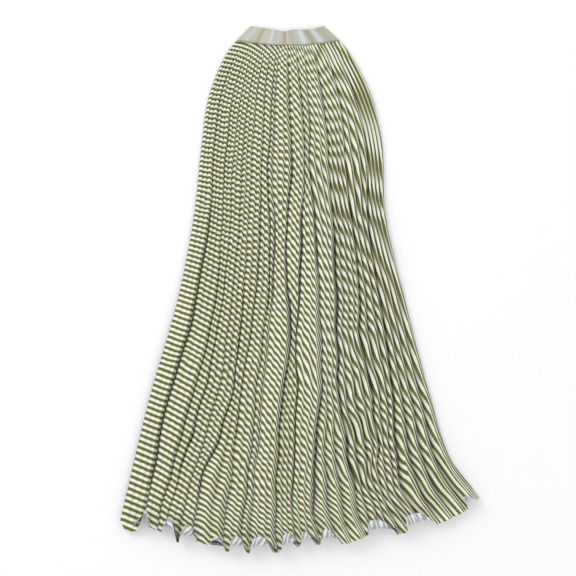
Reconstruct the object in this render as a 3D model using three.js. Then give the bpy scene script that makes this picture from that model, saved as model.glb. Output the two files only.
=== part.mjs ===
// A pleated maxi skirt, laid flat on its back.
//
// Each panel is a quarter ring of cloth, pressed into narrow pleats that fan out from the waist. The two
// panels lie on each other and meet at the side seams, and a flattened elastic loop closes the top.
//
// Millimetres. +X is to the right of the front, +Y towards the waist and +Z up, away from the table.
// The origin is under the middle of the skirt, on the table.
import * as THREE from "three";

// ---------------------------------------------------------------- driving sizes
const PLEATS = 40; // in each panel
const CLOTH = 1; // wall of a panel
const SEAM_GAP = 0.3;
const SHARPEST_MITER = 0.5; // keeps the wall's inner side whole in the tightest creases
const CLOTH_LENGTH = 958; // waist seam to hem, along a pleat

const WAIST_SAG = 10; // the middle of the waist seam lies this far below its ends
const HEM_SAG = 76;

const RIDGE_AT = 0.62; // across a pleat: a broad face up to the ridge, then a steep one down
const PLEAT_SLENDERNESS = 0.9; // rise of a pleat over its width
const MAX_RISE = 13;
const RISE_UNEVENNESS = 0.12; // share by which the pleats' rise varies
const FRONT_LEVEL = 5.2; // top of the front's valleys over the table
const FRONT_EDGE_LEVEL = 2.1; // top of the front's cloth at the side seams

const CURL_LENGTH = 24; // the last stretch of cloth, which rolls up in the curls
const CURL_RADIUS = 8;
const CURL_ARCH = 13; // height of the smooth wave that a curl opens into
const CURL_RUN_IN = 80; // the pleats ease into that wave over this length
const FLATTEST_CURL = 0.02; // between the curls the hem is this nearly straight
const HEADING_STEP = 20; // the hem runs on in the direction of the last stretch above it
const STRAIGHT_ROWS = 17;
const CURL_ROWS = 6;

const BACK_LENGTH = 932; // the back's hem lies under the front's, behind its curls
const BACK_GROOVE = 1.5; // rise of the grooves between the back's pressed pleats
const GROOVE_FROM = 0.76; // across a pleat
const GROOVE_PEAK = 0.88;
const BACK_ROWS = 10;

const BAND_WALL = 2;
const BAND_THICKNESS = 7.5; // of the whole flattened loop
const BAND_ROWS = 4;
const BAND_COLUMNS = 28; // across one side of the loop
const BAND_END_STEPS = 6; // round one end of the loop

// The side edges of the laid skirt, from the waist seam to the hem.
const LEFT_EDGE = [
  { x: -103, down: 0 },
  { x: -123, down: 27 },
  { x: -155, down: 105 },
  { x: -169, down: 197 },
  { x: -184, down: 335 },
  { x: -215, down: 496 },
  { x: -268, down: 680 },
  { x: -307, down: 841 },
  { x: -324, down: 915 },
];
const RIGHT_EDGE = [
  { x: 96, down: 0 },
  { x: 116, down: 27 },
  { x: 155, down: 105 },
  { x: 176, down: 197 },
  { x: 183, down: 335 },
  { x: 220, down: 496 },
  { x: 268, down: 680 },
  { x: 307, down: 800 },
  { x: 366, down: 876 },
];

// Where the main pleats lie, as shares of the panel's width, at each of these shares of its length.
const STATIONS = [0, 0.2, 0.4, 0.55, 0.7, 0.85, 1];
const MAIN_PLEATS = [
  { pleat: 0, lies: [0, 0, 0, 0, 0, 0, 0] },
  { pleat: 1, lies: [0.025, 0.025, 0.032, 0.044, 0.046, 0.046, 0.046] },
  { pleat: 3, lies: [0.075, 0.07, 0.066, 0.068, 0.066, 0.066, 0.066] },
  { pleat: 6, lies: [0.15, 0.135, 0.115, 0.102, 0.088, 0.083, 0.083] },
  { pleat: 9, lies: [0.225, 0.21, 0.188, 0.19, 0.178, 0.15, 0.13] },
  { pleat: 10, lies: [0.25, 0.235, 0.207, 0.207, 0.195, 0.17, 0.15] },
  { pleat: 13, lies: [0.325, 0.31, 0.29, 0.282, 0.28, 0.245, 0.218] },
  { pleat: 15, lies: [0.375, 0.36, 0.335, 0.325, 0.318, 0.312, 0.29] },
  { pleat: 17, lies: [0.425, 0.41, 0.395, 0.38, 0.36, 0.352, 0.343] },
  { pleat: 18, lies: [0.45, 0.438, 0.42, 0.405, 0.382, 0.373, 0.365] },
  { pleat: 21, lies: [0.525, 0.505, 0.486, 0.488, 0.488, 0.46, 0.436] },
  { pleat: 23, lies: [0.575, 0.56, 0.548, 0.53, 0.53, 0.52, 0.495] },
  { pleat: 25, lies: [0.625, 0.605, 0.595, 0.565, 0.56, 0.573, 0.552] },
  { pleat: 27, lies: [0.675, 0.655, 0.637, 0.626, 0.617, 0.603, 0.6] },
  { pleat: 30, lies: [0.75, 0.735, 0.71, 0.697, 0.69, 0.692, 0.685] },
  { pleat: 31, lies: [0.775, 0.76, 0.735, 0.718, 0.709, 0.716, 0.712] },
  { pleat: 34, lies: [0.85, 0.838, 0.815, 0.8, 0.8, 0.808, 0.8] },
  { pleat: 37, lies: [0.925, 0.915, 0.905, 0.9, 0.898, 0.888, 0.875] },
  { pleat: 40, lies: [1, 1, 1, 1, 1, 1, 1] },
];

// How far the front's hem reaches past the cloth length, across the panel.
const HEM_LINE = [
  { share: 0, reach: 2 },
  { share: 0.022, reach: 17 },
  { share: 0.045, reach: 10 },
  { share: 0.066, reach: -10 },
  { share: 0.12, reach: -6 },
  { share: 0.16, reach: 6 },
  { share: 0.23, reach: -4 },
  { share: 0.295, reach: 8 },
  { share: 0.44, reach: 3 },
  { share: 0.5, reach: -7 },
  { share: 0.55, reach: -9 },
  { share: 0.63, reach: -4 },
  { share: 0.69, reach: -12 },
  { share: 0.76, reach: 0 },
  { share: 0.87, reach: 6 },
  { share: 0.95, reach: 4 },
  { share: 1, reach: -6 },
];

// The stretches of the front's hem that roll up and show the reverse of the cloth.
const CURLS = [
  { from: 0.054, to: 0.08, roll: 0.6 },
  { from: 0.115, to: 0.158, roll: 0.9 },
  { from: 0.163, to: 0.212, roll: 1 },
  { from: 0.248, to: 0.294, roll: 0.7 },
  { from: 0.3, to: 0.35, roll: 0.95 },
  { from: 0.357, to: 0.424, roll: 1 },
  { from: 0.446, to: 0.494, roll: 1 },
  { from: 0.5, to: 0.545, roll: 0.8 },
  { from: 0.556, to: 0.612, roll: 0.9 },
  { from: 0.697, to: 0.775, roll: 1 },
  { from: 0.803, to: 0.87, roll: 1 },
  { from: 0.955, to: 0.99, roll: 0.7 },
];

// The waistband's top edge, from its left corner to its right one.
const BAND_TOP = [
  { x: -77, rise: 27 },
  { x: -60, rise: 24.5 },
  { x: -38, rise: 22 },
  { x: -12, rise: 17 },
  { x: 7, rise: 20.5 },
  { x: 28, rise: 20.5 },
  { x: 42, rise: 21.5 },
  { x: 56, rise: 25 },
  { x: 66, rise: 28 },
];

// ---------------------------------------------------------------- small helpers
const mix = THREE.MathUtils.lerp;
const ease = (x) => THREE.MathUtils.smoothstep(x, 0, 1);

// The value of a table's column where its key column reads x, on straight lines between rows.
function lookUp(table, key, column, x) {
  const next = Math.max(1, table.findIndex((row) => row[key] >= x));
  const a = table[next - 1];
  const b = table[next];
  const share = THREE.MathUtils.clamp((x - a[key]) / (b[key] - a[key]), 0, 1);
  return mix(a[column], b[column], share);
}

// A steady, uneven number from -1 to 1 for each whole number.
const uneven = (n) => 2 * THREE.MathUtils.euclideanModulo(Math.sin(n * 12.9898) * 43758.5453, 1) - 1;

const edgeCurve = (rows) =>
  new THREE.CatmullRomCurve3(rows.map(({ x, down }) => new THREE.Vector3(x, -down, 0)));
const leftEdge = edgeCurve(LEFT_EDGE);
const rightEdge = edgeCurve(RIGHT_EDGE);

// The point of the laid skirt, in plan, at a share of its width and a distance along the pleats.
function planPoint(share, along) {
  const t = THREE.MathUtils.clamp(along / CLOTH_LENGTH, 0, 1);
  const point = new THREE.Vector3().lerpVectors(leftEdge.getPointAt(t), rightEdge.getPointAt(t), share);
  point.y -= mix(WAIST_SAG, HEM_SAG, t) * 4 * share * (1 - share);
  return point;
}

// ---------------------------------------------------------------- pleats
// The share of the width at which a pleat begins, at a share of the length.
function pleatStart(pleat, length) {
  const next = Math.max(1, MAIN_PLEATS.findIndex((row) => row.pleat >= pleat));
  const a = MAIN_PLEATS[next - 1];
  const b = MAIN_PLEATS[next];
  const station = Math.min(STATIONS.length - 2, STATIONS.findLastIndex((s) => s <= length));
  const down = ease((length - STATIONS[station]) / (STATIONS[station + 1] - STATIONS[station]));
  const from = mix(a.lies[station], a.lies[station + 1], down);
  const to = mix(b.lies[station], b.lies[station + 1], down);
  return mix(from, to, (pleat - a.pleat) / (b.pleat - a.pleat));
}

// How much the hem curls at a share of the width, from 0 to 1.
function curlAt(share) {
  const curl = CURLS.find(({ from, to }) => share > from && share < to);
  if (!curl) return 0;
  return curl.roll * Math.sin((Math.PI * (share - curl.from)) / (curl.to - curl.from));
}

// A point on the front's outer side. Columns alternate between valleys, which are even, and ridges.
function frontPoint(column, straight, curled) {
  const pleat = Math.floor(column / 2);
  const start = pleatStart(pleat, straight);
  const end = pleatStart(Math.min(pleat + 1, PLEATS), straight);
  const share = column % 2 ? mix(start, end, RIDGE_AT) : start;
  const length = CLOTH_LENGTH + lookUp(HEM_LINE, "share", "reach", share);
  const along = straight * (length - CURL_LENGTH);
  const past = curled * CURL_LENGTH;

  const width = planPoint(end, along).distanceTo(planPoint(start, along));
  const rise = Math.min(MAX_RISE, PLEAT_SLENDERNESS * width) * (1 + RISE_UNEVENNESS * uneven(pleat));
  const curl = curlAt(share);
  const arch = ease(1 - (length - CURL_LENGTH - along) / CURL_RUN_IN) * Math.sqrt(curl);
  const height = mix(column % 2 ? rise : 0, CURL_ARCH * curl, arch);

  const place = planPoint(share, along);
  const heading = place.clone().sub(planPoint(share, along - HEADING_STEP)).normalize();
  const bend = Math.max(curl, FLATTEST_CURL) / CURL_RADIUS;
  place.addScaledVector(heading, Math.sin(bend * past) / bend);
  const level = share > 0 && share < 1 ? FRONT_LEVEL : FRONT_EDGE_LEVEL;
  place.z = level + height + (1 - Math.cos(bend * past)) / bend;
  return place;
}

// A point on the back's upper side. Each pleat is a flat, then a groove's peak, then the next flat.
function backPoint(column, length) {
  const pleat = Math.floor(column / 3);
  const corner = [0, GROOVE_FROM, GROOVE_PEAK][column % 3];
  const start = pleatStart(pleat, length);
  const share = corner ? mix(start, pleatStart(pleat + 1, length), corner) : start;
  const lifted = corner === GROOVE_PEAK && pleat > 0 && pleat < PLEATS - 1;
  const place = planPoint(share, length * BACK_LENGTH);
  place.z = CLOTH + (lifted ? BACK_GROOVE : 0);
  return place;
}

// ---------------------------------------------------------------- walls
const grid = (rows, columns, pointAt) =>
  Array.from({ length: rows + 1 }, (_, r) => Array.from({ length: columns + 1 }, (_, c) => pointAt(r, c)));

// The same sheet, moved in from its outer side by the wall, square to every face.
function innerSheet(outer, wall) {
  const rows = outer.length - 1;
  const columns = outer[0].length - 1;
  return grid(rows, columns, (r, c) => {
    const here = outer[r][c];
    const down = outer[Math.min(r + 1, rows)][c].clone().sub(outer[Math.max(r - 1, 0)][c]);
    const normals = [c > 0 && [c - 1, c], c < columns && [c, c + 1]]
      .filter(Boolean)
      .map(([a, b]) => down.clone().cross(outer[r][b].clone().sub(outer[r][a])).normalize());
    const [first, last] = [normals[0], normals[normals.length - 1]];
    const miter = first.clone().add(last).divideScalar(Math.max(SHARPEST_MITER, 1 + first.dot(last)));
    return here.clone().addScaledVector(miter, -wall);
  });
}

// A closed wall between an outer sheet and an inner one with the same rows and columns. On a loop, the
// columns run on from the last one to the first.
function wallGeometry(outer, inner, isLoop = false) {
  const rows = outer.length;
  const columns = outer[0].length;
  const spans = isLoop ? columns : columns - 1;
  const out = (r, c) => r * columns + (c % columns);
  const inn = (r, c) => rows * columns + out(r, c);
  const faces = [];
  const quad = (a, b, c, d) => faces.push(a, b, c, a, c, d);
  for (let c = 0; c < spans; c++) {
    for (let r = 0; r < rows - 1; r++) {
      quad(out(r, c), out(r + 1, c), out(r + 1, c + 1), out(r, c + 1));
      quad(inn(r, c), inn(r, c + 1), inn(r + 1, c + 1), inn(r + 1, c));
    }
    quad(out(0, c), out(0, c + 1), inn(0, c + 1), inn(0, c));
    quad(out(rows - 1, c + 1), out(rows - 1, c), inn(rows - 1, c), inn(rows - 1, c + 1));
  }
  for (let r = 0; r < rows - 1 && !isLoop; r++) {
    quad(out(r + 1, 0), out(r, 0), inn(r, 0), inn(r + 1, 0));
    quad(out(r, spans), out(r + 1, spans), inn(r + 1, spans), inn(r, spans));
  }
  return new THREE.BufferGeometry().setFromPoints([...outer.flat(), ...inner.flat()]).setIndex(faces);
}

// ---------------------------------------------------------------- pieces
function frontPanel() {
  const outer = grid(STRAIGHT_ROWS + CURL_ROWS, 2 * PLEATS, (r, c) => {
    const straight = Math.min(1, r / STRAIGHT_ROWS);
    const curled = Math.max(0, (r - STRAIGHT_ROWS) / CURL_ROWS);
    return frontPoint(c, straight, curled);
  });
  return wallGeometry(outer, innerSheet(outer, CLOTH));
}

function backPanel() {
  const upper = grid(BACK_ROWS, 3 * PLEATS, (r, c) => backPoint(c, r / BACK_ROWS));
  const lower = upper.map((row) => row.map((p) => p.clone().setZ(p.z - CLOTH)));
  return wallGeometry(upper, lower);
}

// The stops round the flattened elastic: across its upper side, round its right end, back under and round
// its left end. A stop has its share of the width and its turn from straight up.
function bandStops() {
  const across = Array.from({ length: BAND_COLUMNS + 1 }, (_, i) => i / BAND_COLUMNS);
  const turns = Array.from({ length: BAND_END_STEPS - 1 }, (_, i) => (Math.PI * (i + 1)) / BAND_END_STEPS);
  return [
    ...across.map((share) => ({ share, turn: 0 })),
    ...turns.map((turn) => ({ share: 1, turn })),
    ...across.toReversed().map((share) => ({ share, turn: Math.PI })),
    ...turns.map((turn) => ({ share: 0, turn: Math.PI + turn })),
  ];
}

// A point round the elastic, at a height over the waist seam and a reach from its middle layer.
function bandPoint({ share, turn }, height, reach) {
  const bottom = planPoint(share, 0);
  bottom.y += SEAM_GAP;
  const x = mix(BAND_TOP[0].x, BAND_TOP[BAND_TOP.length - 1].x, share);
  const top = new THREE.Vector3(x, lookUp(BAND_TOP, "x", "rise", x), 0);
  const place = bottom.lerp(top, height);
  const inset = (BAND_THICKNESS / 2) * ((share === 0) - (share === 1));
  place.x += inset + Math.sin(turn) * reach;
  place.z = BAND_THICKNESS / 2 + Math.cos(turn) * reach;
  return place;
}

function waistband() {
  const stops = bandStops();
  const side = (reach) =>
    grid(BAND_ROWS, stops.length - 1, (r, c) => bandPoint(stops[c], 1 - r / BAND_ROWS, reach));
  return wallGeometry(side(BAND_THICKNESS / 2), side(BAND_THICKNESS / 2 - BAND_WALL), true);
}

// ---------------------------------------------------------------- assembly
const stripedCloth = new THREE.MeshStandardMaterial({ name: "striped_cloth", color: 0x9ba06e, roughness: 0.6 });
const metallicElastic = new THREE.MeshStandardMaterial({
  name: "metallic_elastic",
  color: 0xc9c5b4,
  roughness: 0.45,
  metalness: 0.3,
});

function piece(name, geometry, material) {
  const mesh = new THREE.Mesh(geometry, material);
  mesh.name = name;
  return mesh;
}

const skirt = new THREE.Group();
skirt.add(
  piece("skirt_front", frontPanel(), stripedCloth),
  piece("skirt_back", backPanel(), stripedCloth),
  piece("waistband", waistband(), metallicElastic),
);

// The origin goes under the middle of the skirt, on the table.
const extent = new THREE.Box3().setFromObject(skirt);
const middle = extent.getCenter(new THREE.Vector3());
skirt.position.set(-middle.x, -middle.y, 0);

export default skirt;
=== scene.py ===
"""A pleated maxi skirt of striped cloth, laid flat on its back, with a ribbed metallic elastic waistband.

The panels are thin shells over the model's own panels. Their pleats, curls and creases come from short
tables of named places, and their stripes from where each point lies in the flat cut of the cloth.
"""

import math
from functools import partial
from types import SimpleNamespace

import bmesh
import bpy
import numpy as np
from bpy.props import FloatProperty, FloatVectorProperty, IntProperty, PointerProperty
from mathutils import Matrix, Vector


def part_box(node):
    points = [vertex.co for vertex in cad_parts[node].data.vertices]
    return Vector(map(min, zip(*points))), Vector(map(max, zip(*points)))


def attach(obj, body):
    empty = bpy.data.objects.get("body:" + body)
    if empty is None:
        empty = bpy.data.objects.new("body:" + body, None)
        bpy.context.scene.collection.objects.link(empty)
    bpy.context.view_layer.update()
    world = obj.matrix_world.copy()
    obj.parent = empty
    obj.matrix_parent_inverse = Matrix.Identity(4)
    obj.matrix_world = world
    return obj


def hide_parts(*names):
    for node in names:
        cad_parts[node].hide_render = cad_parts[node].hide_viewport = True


bl_info = {
    "name": "Pleated Maxi Skirt",
    "version": (1, 0, 0),
    "blender": (4, 5, 0),
    "location": "3D View > Sidebar > Skirt",
    "description": "Makes a fan-pleated striped skirt, laid flat, and a plain stage for it",
    "category": "Add Mesh",
}

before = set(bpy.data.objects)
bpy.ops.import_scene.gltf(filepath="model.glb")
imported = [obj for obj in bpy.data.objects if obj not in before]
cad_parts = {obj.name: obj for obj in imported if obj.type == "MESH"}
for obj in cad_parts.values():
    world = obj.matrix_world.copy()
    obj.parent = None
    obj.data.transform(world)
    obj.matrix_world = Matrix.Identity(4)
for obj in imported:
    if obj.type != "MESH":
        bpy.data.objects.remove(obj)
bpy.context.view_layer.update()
BAND_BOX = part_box("waistband")


def table(columns, *rows):
    """A table's rows, each a dictionary of its values by the columns' names."""
    return [dict(zip(columns.split(), row)) for row in rows]


# ---------------- the laid shape, in metres
PLEATS = 40  # in each panel
CLOTH_LENGTH = 0.958  # waist seam to hem, along a pleat
WAIST_RADIUS = 0.215  # of the cut, which is a quarter ring for each panel
PANEL_ANGLE = math.pi / 2
CUT_TURN = math.radians(-8)  # of the panel's left edge, from the line that the stripes cross squarely
WAIST_SAG = 0.010
HEM_SAG = 0.076
WAIST_FADE = 0.07  # share of the length in which the valleys open
TINY = 1e-6  # the least divisor

# A pleat has a broad face up to its ridge, then a steep one down.
WIDTH_UNEVENNESS = 0.16
RIDGE_AT = 0.62  # across the pleat
RIDGE_CLOTH = 0.40  # share of its cloth that is in its broad face
PLEAT_SLENDERNESS = 0.46  # rise over width
RISE_UNEVENNESS = 0.16  # from pleat to pleat
RISE_WAVE = 0.12  # along each pleat
KINK = 0.30  # how far a pleat's ridge has slipped up along its valleys, over its width
LEAST_KINKED = 0.0065  # the width that narrower pleats slip as
KINK_UNEVENNESS = 0.5
KINK_WAVE = 0.4
PRESSED_KINK = 0.4  # share of it that is left in a pressed fold
LOWER_KINK = 0.3  # the same, low on the skirt

# A wide fold is a row of pleats, pressed open into one face where they are crowded or far from the waist.
LAST_RIDGE_AT = (0.30, 0.42)  # in a fold's last pleat, near the waist and below
RISER_CLOTH = 0.20  # more of the fold's cloth in its steep side than its width asks for
FOLD_SLENDERNESS = 0.36
FOLD_UNEVENNESS = 0.12
FOLD_EDGE = 0.55  # height of its left edge over that of its ridge
CROWDED = 0.36  # width over that in the cut, below which a fold is pressed open
CROWDED_FADE = 0.14
RIPPLE = 0.06  # of the pleats that lie pressed open, over their width
RIPPLE_UNEVENNESS = 1.6
RIPPLE_CLOTH = 0.40  # share of a pleat's uneven cloth that stays when it is pressed
OPENNESS = 0.66  # width of the cloth that shows in a fold, over its width in the cut
OPENNESS_UNEVENNESS = 0.14

# A dark valley lies between two wide folds, with the cloth tucked away beneath.
SLIT = 0.0022  # its width
SLIT_RIGHT = 0.35  # share of it right of the valley's line
LEAST_SLIT = 0.4  # share of it in a shallow valley
SLIT_EDGE = 0.0009
VALLEY_FADE = 0.05  # share of the length in which a dark valley ends
EDGE_AT = 0.06  # across the first pleat, near the waist
SHALLOW_FLOOR = 0.8  # height of a shallow valley's floor over that of the fold's left edge
SHALLOW_FOOT = 0.7  # height of a steep side's foot there over that of its ridge
MOST_TUCKED = 0.5  # of the wide fold that the tucked cloth lies under
LEAST_TUCK = 0.0004
TUCK_DROP = 0.0006  # of the tuck's lower layer, and of a valley's floor

# How much painted shade the valleys, the pleats' slopes at the left and right, and the folds' steep sides
# get.
VALLEY_SHADE = 0.45
SLOPE_SHADE = (0.45, 0.95)
PRESSED_SHADE = 0.5  # share of a slope's shade that is left in a pressed fold
RISER_SHADE = 0.6

FRONT_LEVEL = 0.0042
FRONT_EDGE_LEVEL = 0.0013
BODY_ROWS = 0.84  # share of the front's rows that are above the hem's curl
CURL_LENGTH = 0.041
CURL_REACH = 0.022  # of the hem where it curls, past its line
CURL_BOW = 0.006  # of a curl's middle, back from its ends
WIDEST_CURL = 0.2
LEAST_CURL = 0.02
CURL_ARCH = 0.0082
CURL_RUN_IN = 0.080
CURLED_RISE = 0.35  # share of the pleats' rise in a curl
CREASE_SINK = 0.25  # over a crease's shift
HEADING_STEP = 0.020
CREASE_ANGLE = math.radians(32)  # between faces, past which an edge is drawn sharp

BACK_LENGTH = 0.932
BACK_LIFT = 0.0001
BACK_STACK = 0.0022
MOST_HIDDEN = 0.85  # of a pleat's width
LOWEST_TURN = 0.25  # height of a turned layer's inner end, over the stack's

ELASTIC_LENGTH = 0.4  # round the loop, unstretched
ELASTIC_HEIGHT = 0.032
BAND_ROWS = 16
BAND_COLUMNS = 480  # on each side of the flattened loop
BAND_END_COLUMNS = 10
BAND_OVERLAP = 0.0003
FOLD_AT_SEAM = 0.45  # depth of the elastic's folds at the seam, over that at the top
# How strongly the elastic's folds get painted shade in their hollows and a painted highlight on their crests:
FOLD_SHADE_AND_HIGHLIGHT = 600  # for each metre of a fold's depth

STITCH_SIZE = (0.0021, 0.0012, 0.0008)
STITCH_AT = 0.06  # share of the elastic's height
STITCH_LIFT = 0.0001

# The side edges of the laid skirt, from the waist seam to the hem: (x, down).
LEFT_EDGE = [
    (-0.103, 0), (-0.123, 0.027), (-0.155, 0.105), (-0.169, 0.197), (-0.184, 0.335),
    (-0.215, 0.496), (-0.268, 0.68), (-0.307, 0.841), (-0.324, 0.915),
]
RIGHT_EDGE = [
    (0.096, 0), (0.116, 0.027), (0.155, 0.105), (0.176, 0.197), (0.183, 0.335),
    (0.22, 0.496), (0.268, 0.68), (0.307, 0.8), (0.366, 0.876),
]

# Where the valleys between the wide folds lie, as shares of the panel's width, at each station along its
# length. Each is named by the pleat that begins there.
STATIONS = [0, 0.12, 0.25, 0.4, 0.5, 0.6, 0.7, 0.8, 0.9, 1]
MAIN_VALLEYS = {
    0: [0] * 10,
    3: [0.075, 0.072, 0.07, 0.085, 0.076, 0.078, 0.07, 0.063, 0.066, 0.062],
    6: [0.15, 0.145, 0.135, 0.15, 0.158, 0.16, 0.15, 0.132, 0.118, 0.105],
    8: [0.2, 0.195, 0.18, 0.19, 0.19, 0.19, 0.186, 0.165, 0.143, 0.128],
    10: [0.25, 0.245, 0.23, 0.235, 0.235, 0.232, 0.235, 0.215, 0.185, 0.165],
    12: [0.3, 0.295, 0.28, 0.285, 0.285, 0.28, 0.288, 0.265, 0.22, 0.2],
    14: [0.35, 0.345, 0.335, 0.35, 0.338, 0.325, 0.32, 0.315, 0.305, 0.285],
    16: [0.4, 0.39, 0.372, 0.4, 0.4, 0.385, 0.375, 0.37, 0.36, 0.34],
    17: [0.425, 0.415, 0.4, 0.425, 0.42, 0.41, 0.4, 0.395, 0.385, 0.365],
    20: [0.5, 0.5, 0.5, 0.485, 0.491, 0.503, 0.475, 0.465, 0.455, 0.435],
    23: [0.575, 0.575, 0.575, 0.565, 0.546, 0.522, 0.535, 0.522, 0.508, 0.49],
    26: [0.65, 0.62, 0.6, 0.64, 0.64, 0.632, 0.625, 0.595, 0.578, 0.56],
    29: [0.725, 0.71, 0.7, 0.735, 0.718, 0.697, 0.69, 0.697, 0.7, 0.685],
    33: [0.825, 0.81, 0.795, 0.83, 0.825, 0.795, 0.803, 0.8, 0.79, 0.775],
    36: [0.9, 0.905, 0.915, 0.912, 0.903, 0.895, 0.888, 0.872, 0.845, 0.83],
    40: [1] * 10,
}

# How far round its cut the cloth is, in pleats, at tenths of the laid width, for some lengths. About half of
# the cloth lies tucked in the valleys, and the right side edge shows cloth that goes on to the back.
CUT_LIES = {
    0.05: [1, 6.4, 11, 15.4, 20, 25.4, 31.6, 37.4, 41.6, 45.4, 49],
    0.2: [1, 6.4, 11.2, 15.6, 20.4, 25.2, 30.8, 35.8, 39.6, 43.4, 47],
    0.4: [1, 6.2, 11, 15.6, 20.4, 25.2, 30, 34.2, 37.8, 41.6, 45.5],
    0.9: [2, 7.6, 12.4, 17, 21.4, 26, 30.2, 34, 37, 40.6, 44],
}

# How much cloth lies in a stretch of the skirt, over its length: it is bunched at the waist, and its own
# weight has drawn it out at the hem.
CLOTH_EASE = [(0, 1.15), (0.3, 1.13), (0.5, 1.08), (0.62, 1.0), (0.75, 0.97), (0.9, 0.9), (1, 0.88)]

# How far the pleats of each wide fold are pressed open into one face, from 0 to 1, at some lengths.
PRESSED_AT = [0.02, 0.1, 0.25, 0.45, 0.6, 0.8, 1]
PRESSED = {
    0: [0, 0.1, 0.3, 0.6, 1, 0.9, 0.8],
    3: [0, 0, 0.1, 0.1, 0.6, 0.8, 0.9],
    6: [0, 0.1, 0.1, 0.1, 0.3, 0.7, 0.9],
    8: [0, 0.2, 0.1, 0.1, 0.1, 0.3, 0.6],
    10: [0, 0.5, 0.2, 0.1, 0.2, 0.5, 0.8],
    12: [0.2, 0.7, 0.5, 0.1, 0.2, 0.3, 0.6],
    14: [0.3, 0.9, 0.7, 0.2, 0.6, 0.6, 0.8],
    16: [0.3, 1, 0.8, 0.8, 1, 1, 0.8],
    17: [0.3, 0.9, 0.5, 0.6, 1, 0.9, 0.6],
    20: [0.3, 0.9, 0.6, 0.9, 0.6, 0.2, 0.3],
    23: [0.3, 0.8, 0.5, 1, 1, 0.7, 0.4],
    26: [0.2, 0.8, 0.3, 1, 0.9, 0.2, 0.2],
    29: [0.2, 0.6, 0.1, 0.4, 0.5, 0.2, 0.2],
    33: [0.2, 0.5, 0.1, 0.2, 0.1, 0.2, 0.3],
    36: [0.1, 0.3, 0.1, 0.4, 0.2, 0.2, 0.3],
}

# How the pleats sway along the skirt, in waves, and where they sway most.
SWAY = table("size down across phase", (1, 19, 31, 0), (0.7, 43, -23, 2), (0.5, 71, 57, 4))
LOOSEST = {"share": 0.77, "length": 0.85, "reach": 0.16, "more": 1.6}

# How far the front's hem reaches past the cloth length, across the panel: (share, reach).
HEM_LINE = [
    (0, 0.002), (0.022, 0.017), (0.045, 0.01), (0.066, -0.01), (0.12, -0.006),
    (0.16, 0.006), (0.23, -0.004), (0.295, 0.008), (0.44, 0.003), (0.5, -0.007),
    (0.55, -0.009), (0.63, -0.004), (0.69, -0.012), (0.76, 0), (0.87, 0.006),
    (0.95, 0.004), (1, -0.006),
]

# The stretches of the front's hem that roll up and show the reverse of the cloth.
CURLS = table(
    "from to roll",
    (0.05, 0.95, 0.3),
    (0.054, 0.08, 0.7),
    (0.115, 0.158, 0.9),
    (0.163, 0.212, 1),
    (0.248, 0.294, 0.7),
    (0.3, 0.35, 0.95),
    (0.357, 0.424, 1),
    (0.446, 0.494, 1),
    (0.5, 0.545, 0.8),
    (0.556, 0.612, 0.9),
    (0.69, 0.765, 1),
    (0.79, 0.87, 1),
    (0.955, 0.99, 0.7),
)

# The valleys that lie open and dark, by the pleat they begin, with the stretch of the length they cover. A
# depth over 1 also opens the valley wider.
DARK_VALLEYS = table(
    "pleat from to depth",
    (3, 0.36, 0.96, 0.8),
    (6, 0.14, 0.3, 0.7),
    (6, 0.48, 0.62, 0.5),
    (8, 0.46, 0.88, 0.8),
    (12, 0.5, 0.94, 1.0),
    (14, 0.3, 0.8, 0.7),
    (16, 0.2, 0.54, 0.8),
    (17, 0.36, 0.52, 0.9),
    (20, 0.22, 0.62, 0.9),
    (23, 0.34, 0.95, 1.0),
    (26, 0.14, 0.46, 0.7),
    (26, 0.72, 0.88, 0.8),
    (29, 0.4, 0.84, 1.0),
    (33, 0.27, 0.7, 0.9),
    (36, 0.3, 0.56, 0.9),
    (36, 0.72, 0.9, 1.0),
    (3, 0.38, 0.52, 1.6),
    (8, 0.8, 0.88, 2.2),
    (12, 0.55, 0.66, 2.6),
    (12, 0.84, 0.9, 2.0),
    (20, 0.54, 0.6, 2.8),
    (23, 0.5, 0.58, 2.0),
    (26, 0.8, 0.87, 2.4),
    (29, 0.5, 0.6, 1.8),
    (36, 0.82, 0.9, 2.6),
    (26, 0.88, 0.97, 1.8),
    (29, 0.72, 0.92, 1.8),
    (33, 0.66, 0.86, 2.0),
    (36, 0.56, 0.76, 1.6),
)

# Soft troughs that run over the pleats where the skirt was folded or handled: from (share, length) to
# (share, length), with their half width and how far they shift the cloth along the pleats.
CREASES = table(
    "from to width shift",
    ((0.08, 0.1), (0.28, 0.38), 0.012, 0.0032),
    ((0.03, 0.36), (0.1, 0.33), 0.014, -0.0036),
    ((0.16, 0.06), (0.52, 0.34), 0.01, 0.0024),
    ((0.12, 0.42), (0.34, 0.37), 0.016, 0.003),
    ((0.4, 0.27), (0.56, 0.43), 0.012, 0.0026),
    ((0.2, 0.68), (0.38, 0.62), 0.016, 0.0034),
    ((0.3, 0.8), (0.44, 0.88), 0.016, 0.004),
    ((0.62, 0.22), (0.78, 0.3), 0.016, 0.004),
    ((0.64, 0.3), (0.8, 0.38), 0.014, -0.003),
    ((0.86, 0.2), (0.98, 0.27), 0.016, 0.003),
    ((0.74, 0.5), (0.9, 0.46), 0.014, 0.0036),
    ((0.83, 0.82), (0.94, 0.9), 0.018, 0.005),
    ((0.02, 0.7), (0.16, 0.66), 0.018, 0.0028),
)

# The waistband's top edge, from its left corner to its right one: (x, rise over the waist seam's ends).
BAND_TOP = [
    (-0.077, 0.027), (-0.06, 0.0245), (-0.038, 0.022), (-0.012, 0.017), (0.007, 0.0205),
    (0.028, 0.0205), (0.042, 0.0215), (0.056, 0.025), (0.066, 0.028),
]

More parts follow.
